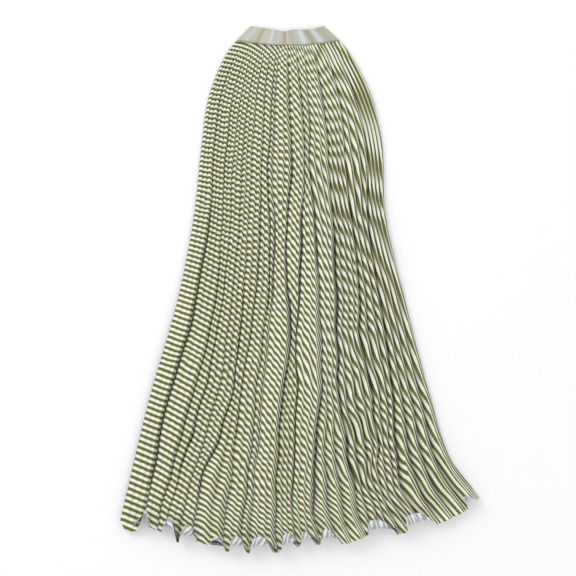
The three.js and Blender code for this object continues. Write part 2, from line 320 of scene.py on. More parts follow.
# The soft folds that run up the elastic.
BAND_FOLDS = table(
    "share width depth",
    (0.07, 0.04, -0.0005),
    (0.19, 0.06, 0.0013),
    (0.32, 0.05, -0.0006),
    (0.475, 0.045, 0.0014),
    (0.56, 0.04, 0.0005),
    (0.675, 0.07, -0.0012),
    (0.765, 0.06, 0.0015),
    (0.84, 0.06, -0.0012),
    (0.93, 0.05, 0.0005),
)

BAND_WIDTH = RIGHT_EDGE[0][0] - LEFT_EDGE[0][0]

# The weave, the colours of worn cloth, the painted shade colours of the cloth's valleys, and the painted
# shade and painted highlight colours of the elastic's folds.
WEAVE_PITCH = 0.0008
STRIPE_WANDER = 0.0011  # of a stripe's edges
THREAD_SCALE = (70, 1400, 1)
RIB_THREAD_SCALE = (560, 14, 1)
WORN = (0.55, 0.55, 0.5)
PALE_IN_SHADE = (0.24, 0.245, 0.22)
DARK_IN_SHADE = (0.02, 0.02, 0.02)
# Painted shade in the hollows of the elastic's folds, and a painted highlight on their crests.
FOLD_HOLLOW_SHADE = (0.34, 0.28, 0.20)
FOLD_CREST_HIGHLIGHT = (0.66, 0.72, 0.76)

# The lights: how wide each is, and where it stands.
LIGHTS = table("name size place", ("key", 1.6, (-1.7, 1.5, 2.2)), ("fill", 2.4, (2.0, -0.6, 2.4)))
VIEW_CENTRE = (-0.0038, -0.4733)  # from the middle of the waist seam
SENSOR_WIDTH = 36  # in millimetres


# ---------------- sizes and colours
def number_setting(label, text, default, **kind):
    """A setting that is a number."""
    return FloatProperty(name=label, description=text, default=default, **kind)


def length_setting(label, text, default):
    """A setting in metres."""
    return number_setting(label, text, default, unit="LENGTH")


def colour_setting(label, text, default):
    """A setting that is a colour."""
    return FloatVectorProperty(name=label, description=text, default=default, subtype="COLOR")


class SkirtCloth(bpy.types.PropertyGroup):
    """Sizes and colours of the striped cloth"""

    thickness: length_setting("Cloth Thickness", "Of the shell", 0.0004)
    stripe_period: length_setting("Stripe Period", "One olive and one ivory stripe", 0.0107)
    olive_share: number_setting("Olive Share", "Of the stripes that is olive", 0.52, subtype="FACTOR")
    max_rise: length_setting("Highest Pleat", "Rise of the widest pleats", 0.013)
    curl_radius: length_setting("Curl Radius", "Of the hem where it rolls up", 0.0096)
    waviness: number_setting("Waviness", "How far the pleats sway, as a share of width", 0.0022)
    rows: IntProperty(name="Rows", description="Of the front's mesh, along a pleat", default=140)
    back_rows: IntProperty(name="Back Rows", description="Of the back's mesh", default=70)
    olive: colour_setting("Olive", "Colour of the dark stripes", (0.125, 0.137, 0.006))
    ivory: colour_setting("Ivory", "Colour of the pale stripes", (0.84, 0.85, 0.73))
    reverse: colour_setting("Reverse", "Colour of the cloth's reverse", (0.76, 0.79, 0.86))
    show_through: colour_setting(
        "Show Through", "Colour of the reverse behind a dark stripe", (0.36, 0.39, 0.35)
    )


class SkirtBand(bpy.types.PropertyGroup):
    """Sizes and colours of the elastic waistband"""

    wall: length_setting("Wall", "Of the elastic", 0.0018)
    thickness: length_setting("Thickness", "Of the whole flattened loop", 0.0075)
    rib_pitch: length_setting("Rib Pitch", "From one rib of the elastic to the next", 0.0016)
    rib_height: length_setting("Rib Height", "Of one rib", 0.00022)
    stitch_pitch: length_setting("Stitch Pitch", "From one stitch to the next", 0.0034)
    champagne: colour_setting("Champagne", "Colour of the elastic", (0.47, 0.475, 0.395))
    thread: colour_setting("Thread", "Colour of the waist stitches", (0.10, 0.095, 0.05))


class SkirtStage(bpy.types.PropertyGroup):
    """The floor, lights and camera"""

    floor_size: length_setting("Floor Size", "Side of the floor", 14.0)
    floor_colour: colour_setting("Floor", "Colour of the floor", (0.90, 0.90, 0.90))
    camera_height: length_setting("Camera Height", "Over the floor", 2.6)
    view_width: length_setting("View Width", "Width of the view on the skirt", 1.1036)
    key_power: number_setting("Key Power", "Of the main light", 30.0, unit="POWER")
    fill_power: number_setting("Fill Power", "Of the second light", 6.0, unit="POWER")
    sky: number_setting("Sky", "Strength of the even light", 0.9)


# ---------------- small helpers
def mix(a, b, share):
    """The value a share of the way from a to b."""
    return a + (b - a) * share


def ease(x):
    """0 below 0, 1 above 1 and a smooth step between them."""
    x = np.clip(x, 0, 1)
    return x * x * (3 - 2 * x)


def look_up(table, x):
    """The second column of a table of pairs where its first column reads x."""
    return np.interp(x, [row[0] for row in table], [row[1] for row in table])


def uneven(n):
    """A steady, uneven number from -1 to 1 for each whole number."""
    return 2 * np.mod(np.sin(n * 12.9898) * 43758.5453, 1) - 1


def smooth_edge(rows, steps=24):
    """Points along a smooth curve through the rows, with their shares of its length."""
    points = np.array(rows, float)
    p = np.vstack([2 * points[0] - points[1], points, 2 * points[-1] - points[-2]])
    gaps = np.sqrt(np.linalg.norm(np.diff(p, axis=0), axis=1))[:, None]
    slopes = np.diff(p, axis=0) / gaps
    tangents = slopes[:-1] - (p[2:] - p[:-2]) / (gaps[:-1] + gaps[1:]) + slopes[1:]
    curve = [points[0]]
    for i, gap in enumerate(gaps[1:-1]):
        for s in np.arange(1, steps + 1) / steps:
            ends = (2 * s**3 - 3 * s**2 + 1) * points[i] + (s**3 - 2 * s**2 + s) * (tangents[i] * gap)
            ends = ends + (3 * s**2 - 2 * s**3) * points[i + 1]
            curve.append(ends + (s**3 - s**2) * (tangents[i + 1] * gap))
    curve = np.array(curve)
    length = np.concatenate([[0], np.cumsum(np.linalg.norm(np.diff(curve, axis=0), axis=1))])
    return length / length[-1], curve


LEFT_CURVE = smooth_edge(LEFT_EDGE)
RIGHT_CURVE = smooth_edge(RIGHT_EDGE)


def plan_point(share, along):
    """The point of the laid skirt, in plan, at a share of its width and a distance along the pleats."""
    t = np.clip(along / CLOTH_LENGTH, 0, 1)
    edge = [
        [np.interp(t, shares, curve[:, k]) for k in (0, 1)] for shares, curve in (LEFT_CURVE, RIGHT_CURVE)
    ]
    x = mix(edge[0][0], edge[1][0], share)
    down = mix(edge[0][1], edge[1][1], share)
    sag = mix(WAIST_SAG, HEM_SAG, t) * 4 * share * (1 - share)
    return np.stack([x, -down - sag], -1)


def to_frame(x, y, z):
    """Points of the laid skirt, moved to where the model's frame has it."""
    low, high = BAND_BOX
    return np.stack([x + low[0] - LEFT_EDGE[0][0], y + high[1] - BAND_TOP[-1][1], z], -1)


# ---------------- pleats
# The wide folds, each by its first pleat and the pleat that begins the next one.
FOLDS = list(zip(list(MAIN_VALLEYS), list(MAIN_VALLEYS)[1:]))

# The corners of a pleat, from its valley over its ridge: how far across it they lie, and how far up.
PLEAT_CORNERS = table(
    "role across up", ("pleat", 0, 0), ("pleat", 0.3, 0.62), ("pleat", RIDGE_AT, 1), ("pleat", 0.82, 0.5)
)
# What the first pleat of a wide fold has in its valley's place, and what follows the last one's ridge: the
# cloth goes down into the valley, back under the fold and out again.
FIRST_CORNERS = table("role across up", ("floor", 0, 0), ("edge", EDGE_AT, 0.1))
LAST_CORNERS = table(
    "role across up",
    ("pleat", 0.82, 0.5),
    ("pleat", 0.92, 0.2),
    ("foot", 1, 0),
    ("tuck_above", 1, 0),
    ("tuck_below", 1, 0),
)

# The corners of a pleat of the back: along its broad face, then back inside it.
BACK_SECTION = table(
    "side run", ("broad", 0), ("broad", 0.5), ("broad", 0.97), ("broad", 1), ("turned", 0.08), ("turned", 0.9)
)


def between_stations(stations, length):
    """The number of the station before each length, and how far it is on to the next one."""
    station = np.clip(np.searchsorted(stations, length, "right") - 1, 0, len(stations) - 2)
    low, high = np.take(stations, station), np.take(stations, station + 1)
    return station, np.clip((length - low) / (high - low), 0, 1)


def pleat_starts(length):
    """The shares of the width at which all the pleats begin, a row each, at each of these lengths."""
    passed = np.cumsum(np.append(0, 1 + WIDTH_UNEVENNESS * uneven(np.arange(PLEATS) + 11)))
    station, down = between_stations(STATIONS, length)
    lies = {
        pleat: mix(np.take(row, station), np.take(row, station + 1), mix(down, ease(down), 0.4))
        for pleat, row in MAIN_VALLEYS.items()
    }
    starts = np.zeros((PLEATS + 1, len(length)))
    for first, last in FOLDS:
        between = (passed[first : last + 1] - passed[first]) / (passed[last] - passed[first])
        starts[first : last + 1] = mix(lies[first], lies[last], between[:, None])
    return starts


def pleat_start(pleat, length, sway=0.0):
    """The share of the width at which a pleat begins, at a share of the length."""
    lengths, which = np.unique(length, return_inverse=True)
    share = pleat_starts(lengths)[pleat, which.reshape(np.shape(length))]
    wave = sum(w["size"] * np.sin(w["down"] * length + w["across"] * share + w["phase"]) for w in SWAY)
    reach = LOOSEST["reach"]
    away = ((share - LOOSEST["share"]) / reach) ** 2 + ((length - LOOSEST["length"]) / reach) ** 2
    wave = wave * (1 + LOOSEST["more"] * np.exp(-away))
    return share + sway * wave * np.minimum(1, 6 * share) * np.minimum(1, 6 * (1 - share)) * ease(4 * length)


def cut_at(share, length):
    """How far round the cut the cloth is, in pleats, at a share of the width and of the length."""
    rows = np.array([np.interp(share, np.linspace(0, 1, len(row)), row) for row in CUT_LIES.values()])
    station, down = between_stations(list(CUT_LIES), length)
    here = np.arange(len(share))
    return mix(rows[station, here], rows[station + 1, here], down)


def cloth_above(along):
    """The cloth between the waist and a distance along the pleats."""
    marks = np.linspace(0, 1.1, 111)
    amounts = look_up(CLOTH_EASE, marks)
    passed = np.concatenate([[0], np.cumsum((amounts[1:] + amounts[:-1]) / 2 * np.diff(marks))])
    return CLOTH_LENGTH * np.interp(along / CLOTH_LENGTH, marks, passed)


def valley_depth(pleat, length):
    """How deep and dark the valley before a pleat is: 0 is shallow and 1 is deep."""
    depth = np.zeros_like(length)
    for row in DARK_VALLEYS:
        middle, half = (row["from"] + row["to"]) / 2, (row["to"] - row["from"]) / 2
        here = 1 - ease((np.abs(length - middle) - half) / VALLEY_FADE + 0.5)
        depth = np.maximum(depth, (pleat == row["pleat"]) * row["depth"] * here)
    return depth


def curl_at(share):
    """How much the hem curls at a share of the width, and how near to its curl's middle that is."""
    roll, middle = np.zeros_like(share), np.zeros_like(share)
    for curl in CURLS:
        width = curl["to"] - curl["from"]
        arc = np.sin(math.pi * np.clip((share - curl["from"]) / width, 0, 1))
        roll = np.maximum(roll, curl["roll"] * arc**0.5)
        if width < WIDEST_CURL:
            middle = np.maximum(middle, arc**1.5)
    return roll, middle


def crease_shift(share, length):
    """How far the creases that run over the pleats shift the cloth along them."""
    shift = np.zeros_like(share)
    for crease in CREASES:
        start, end = np.array(crease["from"]), np.array(crease["to"])
        run = end - start
        place = np.clip(((share - start[0]) * run[0] + (length - start[1]) * run[1]) / (run @ run), 0, 1)
        away = np.hypot(share - start[0] - run[0] * place, length - start[1] - run[1] * place)
        fade = np.sin(math.pi * np.clip(place, 0.05, 0.95)) ** 0.5
        shift += crease["shift"] * fade * np.exp(-((away / crease["width"]) ** 2))
    return shift


# ---------------- the front
def section_columns():
    """Every column of the front's mesh from left to right: its fold, its pleat and its corner."""
    columns = []
    for fold, (first, last) in enumerate(FOLDS):
        for pleat in range(first, last):
            corners = PLEAT_CORNERS
            if pleat == first:
                corners = FIRST_CORNERS + corners[1:]
            if pleat == last - 1:
                corners = corners[:-1] + LAST_CORNERS
            columns += [(fold, pleat, *corner.values()) for corner in corners]
    return columns[:-2]


def by_role(g, plain, **others):
    """A plain value for each point, or the one that is given for its role."""
    return np.select([g.role == role for role in others], list(others.values()), plain)


def move_ridge(across, old, new):
    """Shares across a pleat, stretched so that its ridge moves from an old share to a new one."""
    return np.where(across <= old, across * new / old, 1 - (1 - across) * (1 - new) / (1 - old))


def front_grid(cloth, columns, rows):
    """What each point of the front's grid belongs to, and how wide its pleat and its fold lie there."""
    g = SimpleNamespace()
    g.fold, g.pleat, g.role, g.across, g.up = (np.array(c)[columns] for c in zip(*section_columns()))
    g.first, g.last = np.array(FOLDS)[g.fold].T
    g.is_tuck = (g.role == "tuck_above") | (g.role == "tuck_below")

    body_rows = int(cloth.rows * BODY_ROWS)
    g.straight = np.minimum(1, rows / body_rows)
    g.curled = np.maximum(0, (rows - body_rows) / (cloth.rows - body_rows))
    g.start, g.end, g.left, g.last_start, g.right = (
        pleat_start(pleat, g.straight, cloth.waviness)
        for pleat in (g.pleat, g.pleat + 1, g.first, g.last - 1, g.last)
    )
    nominal = g.straight * CLOTH_LENGTH
    left_side, right_side = (plan_point(side + 0 * g.start, nominal) for side in (0, 1))
    g.whole_width = np.linalg.norm(right_side - left_side, axis=-1)
    g.width = g.whole_width * (g.end - g.start)
    g.fold_width = g.whole_width * (g.right - g.left)
    g.cut_width = (WAIST_RADIUS + nominal) * PANEL_ANGLE / PLEATS
    g.cut_left, g.cut_right = cut_at(g.left, g.straight), cut_at(g.right, g.straight)
    return g


def press_folds(g):
    """How far each fold's pleats are pressed open into one face, and how much of its cloth is tucked away."""
    pressed = np.array([np.interp(g.straight, PRESSED_AT, row) for row in PRESSED.values()])
    crowding = g.fold_width / ((g.cut_right - g.cut_left) * g.cut_width)
    g.merged = np.maximum(pressed[g.fold, np.arange(len(g.fold))], ease((CROWDED - crowding) / CROWDED_FADE))
    g.opened = ease(g.straight / WAIST_FADE)
    g.below = ease((g.straight - 0.2) / 0.2)
    openness = OPENNESS * (1 + OPENNESS_UNEVENNESS * uneven(g.first + 2))
    g.tucked = g.opened * np.maximum(0, g.cut_right - g.cut_left - g.fold_width / (openness * g.cut_width))


def place_across(g):
    """The share of the width at which each point lies, with the valleys' slits and the tucks under folds."""
    last_ridge = mix(RIDGE_AT, mix(*LAST_RIDGE_AT, g.below), g.merged)
    g.ridge = np.where(g.pleat == g.last - 1, last_ridge, RIDGE_AT)
    g.fold_ridge = mix(g.last_start, g.right, last_ridge)
    g.across = move_ridge(g.across, RIDGE_AT, g.ridge)

    g.depth_left, g.depth_right = valley_depth(g.first, g.straight), valley_depth(g.last, g.straight)
    depth = np.where(g.pleat == g.first, g.depth_left, g.depth_right)
    gap = SLIT / g.whole_width * g.opened * mix(LEAST_SLIT, 1, depth)
    g.depth_left, g.depth_right = np.minimum(g.depth_left, 1), np.minimum(g.depth_right, 1)
    edge = mix(EDGE_AT * (g.end - g.start), gap * SLIT_RIGHT + SLIT_EDGE / g.whole_width, g.opened)
    g.foot = g.right - gap * (1 - SLIT_RIGHT)
    tuck = np.minimum(g.tucked * g.cut_width / 2, MOST_TUCKED * g.fold_width) + LEAST_TUCK
    g.share = by_role(
        g,
        np.where(g.is_tuck, g.foot - tuck / g.whole_width, mix(g.start, g.end, g.across)),
        floor=g.start + gap * SLIT_RIGHT,
        edge=g.start + edge,
        foot=g.foot,
    )
    g.share = np.clip(g.share, 0, 1)
    g.at_side = (g.share <= 0) | (g.share >= 1)


def raise_pleats(g, cloth):
    """How high each point is over the front's level, as a pleat and as part of a wide fold."""
    wave = np.sin(11 * g.straight + 5 * uneven(g.pleat + 7))
    uneven_rise = 1 + RISE_UNEVENNESS * uneven(g.pleat) + RISE_WAVE * wave
    own = np.minimum(PLEAT_SLENDERNESS * g.width, cloth.max_rise) * uneven_rise * g.up

    g.on_face = np.clip((g.share - g.left) / np.maximum(g.fold_ridge - g.left, TINY), 0, 1)
    g.on_riser = np.clip((g.share - g.fold_ridge) / np.maximum(g.foot - g.fold_ridge, TINY), 0, 1)
    fold_rise = np.minimum(FOLD_SLENDERNESS * g.fold_width, cloth.max_rise)
    fold_rise = fold_rise * (1 + FOLD_UNEVENNESS * uneven(g.first + 5))
    floor = (1 - g.depth_left) * SHALLOW_FLOOR * FOLD_EDGE
    foot = (1 - g.depth_right) * SHALLOW_FOOT
    face = mix(FOLD_EDGE, 1, g.on_face**0.8)
    wide = np.where(g.on_riser > 0, mix(1, foot, g.on_riser**1.3), face) * fold_rise
    swell = np.maximum(0, uneven(g.pleat + 17)) * (1 + np.sin(9 * g.straight + g.pleat))
    g.strength = 1 + RIPPLE_UNEVENNESS * swell
    ripple = RIPPLE * g.strength * g.width * uneven_rise * (g.up - 0.5) * (g.on_riser <= 0)
    wide = by_role(g, wide + ripple, floor=floor * fold_rise, foot=foot * fold_rise)

    height = mix(own, wide, g.merged)
    g.height = by_role(g, height, tuck_above=0, tuck_below=-TUCK_DROP, floor=height - TUCK_DROP * g.opened)


def curl_hem(g, cloth):
    """Where each point lies in plan, and how high, with the hem rolled up and back over the cloth."""
    curl, middle = curl_at(g.share)
    length = CLOTH_LENGTH + look_up(HEM_LINE, g.share) + CURL_REACH * curl - CURL_BOW * middle
    along = g.straight * (length - CURL_LENGTH)
    past = g.curled * CURL_LENGTH
    g.passed = along + past
    g.shift = crease_shift(g.share, g.straight) * ~g.at_side
    arch = ease(1 - (length - CURL_LENGTH - along) / CURL_RUN_IN) * np.sqrt(curl)
    height = mix(g.height, g.height * CURLED_RISE + CURL_ARCH * curl, arch * ~g.is_tuck)
    height = np.where(g.at_side, 0, height)

    place = plan_point(g.share, along)
    heading = place - plan_point(g.share, along - HEADING_STEP)
    heading /= np.maximum(np.linalg.norm(heading, axis=-1, keepdims=True), TINY)
    bend = np.maximum(curl, LEAST_CURL) / cloth.curl_radius
    place = place + heading * (np.sin(bend * past) / bend)[..., None]
    level = np.where(g.at_side, FRONT_EDGE_LEVEL, FRONT_LEVEL)
    sink = CREASE_SINK * np.abs(g.shift) * (height > 0.001)
    return place, level + height + (1 - np.cos(bend * past)) / bend - sink


def front_cut(g):
    """Where each point lies in the flat cut. Half of a fold's tucked cloth is at each end of the fold."""
    pleats = g.last - g.first
    cloth_across = move_ridge(g.across, g.ridge, RIDGE_CLOTH)
    pleat_cut = (g.pleat - g.first + cloth_across) / pleats
    face_cloth = (g.fold_ridge - g.left) / (g.right - g.left) - RISER_CLOTH
    fold_cut = np.where(g.on_riser > 0, mix(face_cloth, 1, g.on_riser), g.on_face * face_cloth)
    fold_cut = fold_cut + RIPPLE_CLOTH * g.strength * (cloth_across - g.across) / pleats
    run = by_role(g, np.clip(mix(pleat_cut, fold_cut, g.merged), 0, 1), floor=0, foot=1)
    cut = mix(g.cut_left + g.tucked / 2, g.cut_right - g.tucked / 2, run)
    angle = CUT_TURN + np.where(g.is_tuck, g.cut_right, cut) * PANEL_ANGLE / PLEATS

    wave = KINK_UNEVENNESS * uneven(g.pleat + 3) + KINK_WAVE * np.sin(13 * g.straight + 2.3 * g.pleat)
    kink = KINK * np.maximum(g.width, LEAST_KINKED) * ease(g.straight / 0.03) * (1 + wave) * g.up
    kink = kink * mix(1, PRESSED_KINK, g.merged) * mix(1, LOWER_KINK, ease((g.straight - 0.2) / 0.4))
    radius = WAIST_RADIUS + cloth_above(g.passed) + g.shift + kink * ~g.at_side
    return np.stack([radius * np.sin(angle), radius * np.cos(angle)], -1)


def front_shade(g):
    """How much painted shade each point has: in the valleys, low on the pleats' slopes and on the folds'
    steep sides.
    """
    depth = (g.pleat == g.first) * g.depth_left + (g.pleat == g.last - 1) * g.depth_right
    valley = mix(VALLEY_SHADE, 1, np.clip(depth, 0, 1))
    slope = mix(*SLOPE_SHADE, ease((g.share - 0.5) / 0.25) * g.below) * (1 - g.up) ** 2
    slope = slope * mix(1, PRESSED_SHADE, g.merged)
    in_valley = g.is_tuck | (g.role == "floor") | (g.role == "foot")
    riser = RISER_SHADE * g.merged * np.minimum(1, 2 * g.on_riser)
    shade = np.maximum(np.where(in_valley, valley, slope), riser)
    return shade * g.opened * (1 - g.curled) * ~g.at_side


def front_surface(cloth, columns, rows):
    """The front's outer side: each grid point's place in the room, its place in the cut, and its painted
    shade.
    """
    g = front_grid(cloth, columns, rows)
    press_folds(g)
    place_across(g)
    raise_pleats(g, cloth)
    place, height = curl_hem(g, cloth)
    return to_frame(place[..., 0], place[..., 1], height), front_cut(g), front_shade(g)


# ---------------- the back
def back_surface(cloth, columns, rows):
    """The back's outer side, which lies on the table: each pleat's broad face ends in a fold, from which the
    cloth turns back inside it as far as the next pleat's broad face needs."""
    corners = len(BACK_SECTION)
    pleat = np.minimum(columns // corners, PLEATS)
    last = pleat == PLEATS
    run = np.array([c["run"] for c in BACK_SECTION])[columns % corners]
    turning = np.array([c["side"] == "turned" for c in BACK_SECTION])[columns % corners]
    length = rows / cloth.back_rows
    along = length * BACK_LENGTH
    start = pleat_start(pleat, length)
    end = pleat_start(np.minimum(pleat + 1, PLEATS), length)
    width = np.linalg.norm(plan_point(end, along) - plan_point(start, along), axis=-1)
    cut_width = (WAIST_RADIUS + along) * PANEL_ANGLE / PLEATS
    hidden = np.clip((cut_width / np.maximum(width, TINY) - 1) / 2, 0, MOST_HIDDEN)

    # A pleat's broad face starts under the one before it, and the last turned layer ends at the side edge.
    before = np.where(pleat == 0, 0, hidden)
    after = np.where(pleat == PLEATS - 1, 0, hidden)
    across = np.where(turning, 1 - after * run, mix(-before, 1, run))
    share = np.where(last, 1, mix(start, end, across))
    layer = np.where(turning, mix(LOWEST_TURN, 1, run), 1 - run)
    at_left = (pleat == 0) & (run < 1) & ~turning
    z = BACK_LIFT + BACK_STACK * layer * ~(at_left | last)
    broad_cloth = (1 + before) / (1 + before + after)
    cloth_share = np.where(turning, mix(broad_cloth, 1, run), broad_cloth * run)
    place = plan_point(np.clip(share, 0, 1), along)
    angle = math.pi - CUT_TURN - (pleat + cloth_share) * PANEL_ANGLE / PLEATS
    radius = WAIST_RADIUS + along
    cut = np.stack([radius * np.sin(angle), radius * np.cos(angle)], -1)
    return to_frame(place[..., 0], place[..., 1], z), cut, np.zeros_like(length)


# ---------------- meshes
def finished_mesh(name, bm):
    """The mesh that a bmesh has built."""
    mesh = bpy.data.meshes.new(name)
    bm.to_mesh(mesh)
    bm.free()
    return mesh


def new_object(name, data):
    """An object in the scene."""
    thing = bpy.data.objects.new(name, data)
    bpy.context.scene.collection.objects.link(thing)
    return thing


def new_piece(name, mesh, material_slot, *materials):
    """A finished piece in the scene, which moves with the skirt's one body."""
    piece = new_object(name, mesh)
    for material in materials:
        mesh.materials.append(material)
    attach(piece, "root")
    return piece


def cloth_mesh(name, columns, rows, surface, facing=1):
    """A grid, moved onto a surface, with the flat cut as its UV map. Facing -1 turns its outer side over."""
    bm = bmesh.new()
    bmesh.ops.create_grid(bm, x_segments=columns, y_segments=rows, size=0.5)
    flat = np.array([v.co[:2] for v in bm.verts])
    column = np.rint((flat[:, 0] + 0.5) * columns).astype(int)
    row = np.rint((0.5 - flat[:, 1]) * rows).astype(int)
    places, cut, shade = surface(column, row)
    # The "valley" attribute holds each point's painted shade, which darkens the striped material's colour.
    valley = bm.verts.layers.float.new("valley")
    for vert, place, dark in zip(bm.verts, places, shade):
        vert.co = place
        vert[valley] = dark
    if facing < 0:
        bmesh.ops.reverse_faces(bm, faces=bm.faces)
    layer = bm.loops.layers.uv.new("flat_cut")
    for face in bm.faces:
        face.smooth = True
        for loop in face.loops:
            loop[layer].uv = cut[loop.vert.index]
    bm.normal_update()
    for edge in bm.edges:
        edge.smooth = not edge.is_manifold or edge.calc_face_angle(0) < CREASE_ANGLE
    return finished_mesh(name, bm)


def give_wall(piece, name, thickness, inner_material=0):
    """Makes a sheet a thin closed shell, whose inner side may have the piece's second material."""
    wall = piece.modifiers.new(name, "SOLIDIFY")
    wall.thickness = thickness
    wall.offset = -1
    wall.material_offset = inner_material


def band_fold(share):
    """How deep the elastic's folds are at a share of its width."""
    return sum(f["depth"] * math.exp(-((2 * (share - f["share"]) / f["width"]) ** 2)) for f in BAND_FOLDS)


def band_point(band, column, height):
    """A point round the flattened elastic, at a share of its height."""
    radius = band.thickness / 2
    if column <= BAND_COLUMNS:
        share, turn = column / BAND_COLUMNS, 0.0
    elif column < BAND_COLUMNS + BAND_END_COLUMNS:
        share, turn = 1.0, math.pi * (column - BAND_COLUMNS) / BAND_END_COLUMNS
    elif column <= 2 * BAND_COLUMNS + BAND_END_COLUMNS:
        share, turn = 1 - (column - BAND_COLUMNS - BAND_END_COLUMNS) / BAND_COLUMNS, math.pi
    else:
        past = column - 2 * BAND_COLUMNS - BAND_END_COLUMNS
        share, turn = 0.0, math.pi + math.pi * past / BAND_END_COLUMNS
    lies = mix(radius / BAND_WIDTH, 1 - radius / BAND_WIDTH, share)
    bottom = plan_point(np.array(lies), np.array(0.0))
    top_x = mix(BAND_TOP[0][0] + radius, BAND_TOP[-1][0] - radius, share)
    top = np.array([top_x, look_up(BAND_TOP, top_x)])
    place = mix(bottom + [0, BAND_OVERLAP], top, height)
    reach = radius
    if 0 < share < 1:
        fold = band_fold(share) * mix(FOLD_AT_SEAM, 1, height) * (turn == 0)
        rib = band.rib_height * 0.5 * (1 + math.cos(2 * math.pi * share * BAND_WIDTH / band.rib_pitch))
        reach = radius - fold - rib
    x = place[0] + math.sin(turn) * reach
    z = radius + math.cos(turn) * reach
    return Vector(to_frame(np.array(x), np.array(place[1]), np.array(z)))


def band_mesh(band):
    """The loop of elastic, with its unstretched length and its height as its UV map."""
    bm = bmesh.new()
    total = 2 * (BAND_COLUMNS + BAND_END_COLUMNS)
    bmesh.ops.create_grid(bm, x_segments=total, y_segments=BAND_ROWS, size=0.5)
    layer = bm.loops.layers.uv.new("elastic")
    fold = bm.verts.layers.float.new("fold")
    flat = {v: (round((v.co.x + 0.5) * total), 0.5 + v.co.y) for v in bm.verts}
    for face in bm.faces:
        face.smooth = True
        for loop in face.loops:
            column, height = flat[loop.vert]
            loop[layer].uv = (column / total * ELASTIC_LENGTH, height * ELASTIC_HEIGHT)
    for vert, (column, height) in flat.items():
        vert.co = band_point(band, column % total, height)
        # The fold attribute carries the painted shade and painted highlight of the elastic's folds, from
        # their depth.
        vert[fold] = band_fold(min(column, total / 2) / BAND_COLUMNS) * FOLD_SHADE_AND_HIGHLIGHT
    bmesh.ops.remove_doubles(bm, verts=bm.verts, dist=0.00002)
    upper = max(bm.faces, key=lambda f: f.calc_center_median().z)
    upper.normal_update()
    if upper.normal.z < 0:
        bmesh.ops.reverse_faces(bm, faces=bm.faces)
    return finished_mesh("elastic_waistband", bm)


# ---------------- materials
def set_inputs(tree, node, inputs):
    """Puts values, colours or other nodes' outputs on a node's inputs, by their names or numbers."""
    for key, value in inputs.items():
        socket = node.inputs[key]
        if isinstance(value, bpy.types.NodeSocket):
            tree.links.new(value, socket)
        elif socket.type == "RGBA":
            socket.default_value = (*value, 1)
        else:
            socket.default_value = value


def new_node(tree, kind, inputs=None, **settings):
    """A shader node with its settings and inputs."""
    node = tree.nodes.new("ShaderNode" + kind)
    for name, value in settings.items():
        setattr(node, name, value)
    set_inputs(tree, node, inputs or {})
    return node


def math_node(tree, operation, *values, clamp=False):
    """The output of a maths node, whose inputs are numbers or other nodes' outputs."""
    return new_node(tree, "Math", dict(enumerate(values)), operation=operation, use_clamp=clamp).outputs[0]


def over(tree, value, least, gain):
    """How far a value is over a least one, times a gain, from 0 to 1."""
    return math_node(tree, "MULTIPLY", math_node(tree, "SUBTRACT", value, least), gain, clamp=True)


def mix_colour(tree, share, a, b, blend="MIX"):
    """The output of a mix of two colours."""
    inputs = {0: share, 6: a, 7: b}
    return new_node(tree, "Mix", inputs, data_type="RGBA", blend_type=blend).outputs[2]


def noise(tree, place, scale, detail):
    """Noise over places. A scale with three numbers is one for each axis."""
    if isinstance(scale, tuple):
        place = new_node(tree, "VectorMath", {0: place, 1: scale}, operation="MULTIPLY").outputs[0]
        scale = 1
    return new_node(tree, "TexNoise", {"Vector": place, "Scale": scale, "Detail": detail}).outputs[0]


def bump(tree, height, distance, strength):
    """The normal of a surface that a height raises."""
    inputs = {"Height": height, "Distance": distance, "Strength": strength}
    return new_node(tree, "Bump", inputs).outputs[0]


def stripe_group():
    """Woven stripes across the flat cut, with edges that wander by a thread."""
    name = "woven_stripes"
    if name in bpy.data.node_groups:
        return bpy.data.node_groups[name]
    tree = bpy.data.node_groups.new(name, "ShaderNodeTree")
    inputs = {"Cut": "Vector", "Period": "Float", "Dark Share": "Float", "Softness": "Float"}
    for label, kind in inputs.items():
        tree.interface.new_socket(label, in_out="INPUT", socket_type="NodeSocket" + kind)
    for label in ("Dark", "Thread", "Weave"):
        tree.interface.new_socket(label, in_out="OUTPUT", socket_type="NodeSocketFloat")
    start = tree.nodes.new("NodeGroupInput").outputs
    end = tree.nodes.new("NodeGroupOutput")
    parts = new_node(tree, "SeparateXYZ", {0: start["Cut"]})

    maths = partial(math_node, tree)
    shift = maths("MULTIPLY", maths("SUBTRACT", noise(tree, start["Cut"], 260, 2), 0.5), STRIPE_WANDER)
    turn = maths("DIVIDE", maths("ADD", parts.outputs["Y"], shift), start["Period"])
    phase = maths("ABSOLUTE", maths("SUBTRACT", maths("FRACT", turn), 0.5))
    half = maths("MULTIPLY", start["Dark Share"], 0.5)
    step = maths("DIVIDE", maths("SUBTRACT", half, phase), start["Softness"])
    dark = maths("ADD", step, 0.5, clamp=True)

    threads_apart = 2 * math.pi / WEAVE_PITCH
    warp, weft = (maths("SINE", maths("MULTIPLY", parts.outputs[axis], threads_apart)) for axis in "XY")
    weave = maths("MULTIPLY", warp, weft)
    threads = noise(tree, start["Cut"], THREAD_SCALE, 3)
    set_inputs(tree, end, {"Dark": dark, "Thread": threads, "Weave": weave})
    return tree


def plain_material(name, roughness, metallic=0.0):
    """A material and its Principled shader, with numbers that hold all over it."""
    material = bpy.data.materials.new(name)
    material.use_nodes = True
    shader = material.node_tree.nodes["Principled BSDF"]
    shader.inputs["Roughness"].default_value = roughness
    shader.inputs["Metallic"].default_value = metallic
    return material, shader


